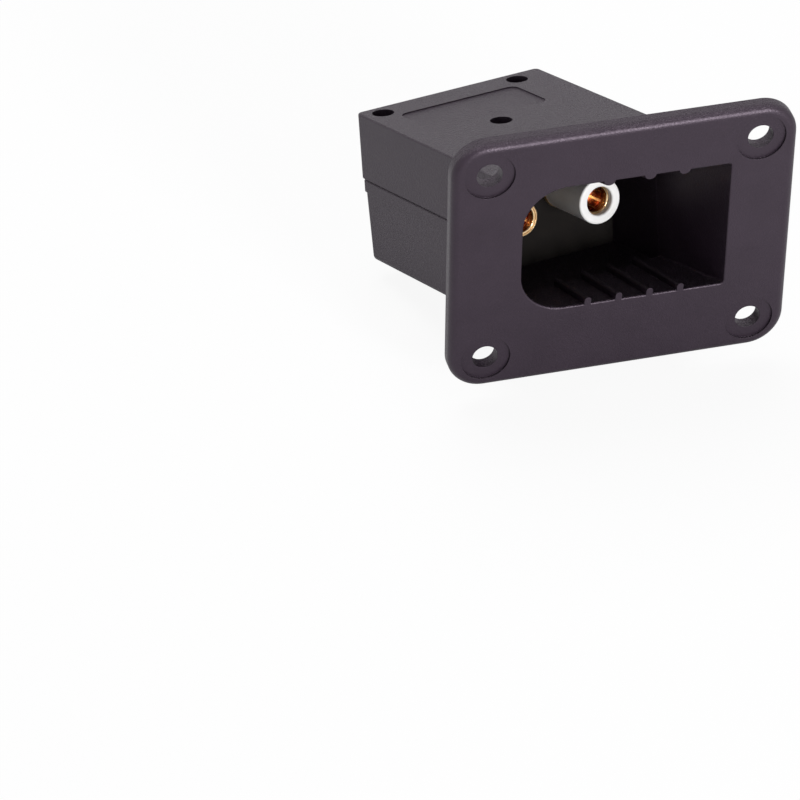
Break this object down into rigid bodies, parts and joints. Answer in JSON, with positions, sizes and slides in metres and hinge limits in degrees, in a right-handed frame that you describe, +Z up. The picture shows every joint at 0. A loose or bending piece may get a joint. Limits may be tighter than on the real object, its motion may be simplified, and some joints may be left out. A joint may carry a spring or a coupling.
{
  "type": "golf cart charger receptacle",
  "caption": "Panel-mount charger receptacle: an upright flange with a D-shaped mouth and a slanted split box that holds brass socket contacts and a white insulating sleeve.",
  "frame": {"origin": "middle of the flange's screw pattern, on the flange's back face that seats on the panel", "axes": "+X right along the flange seen from the front, +Y into the panel, +Z up along the flange"},
  "size_m": [0.0906, 0.0859, 0.077],
  "materials": {
    "flange_plastic": "fine-grained black moulded plastic",
    "box_plastic": "fine-grained black moulded plastic",
    "carrier_board": "brown-grey fibre board",
    "white_plastic": "smooth white plastic",
    "contact_brass": "turned brass",
    "ring_brass": "pressed brass",
    "spring_copper": "copper-coloured spring alloy",
    "plated_brass": "plated brass",
    "screw_steel": "zinc plated"
  },
  "bodies": {
    "root": {"flange_housing": "flange_plastic", "upper_housing": "box_plastic", "lower_housing": "box_plastic", "housing_screws": "screw_steel", "contact_carrier": "carrier_board", "insulating_sleeve": "white_plastic", "contact_nuts": "plated_brass", "lock_washers": "screw_steel", "contact_left": "contact_brass", "contact_right": "contact_brass", "mouth_ring_left": "ring_brass", "mouth_ring_right": "ring_brass", "spring_cage_left": "spring_copper", "spring_cage_right": "spring_copper"}
  },
  "joints": []
}
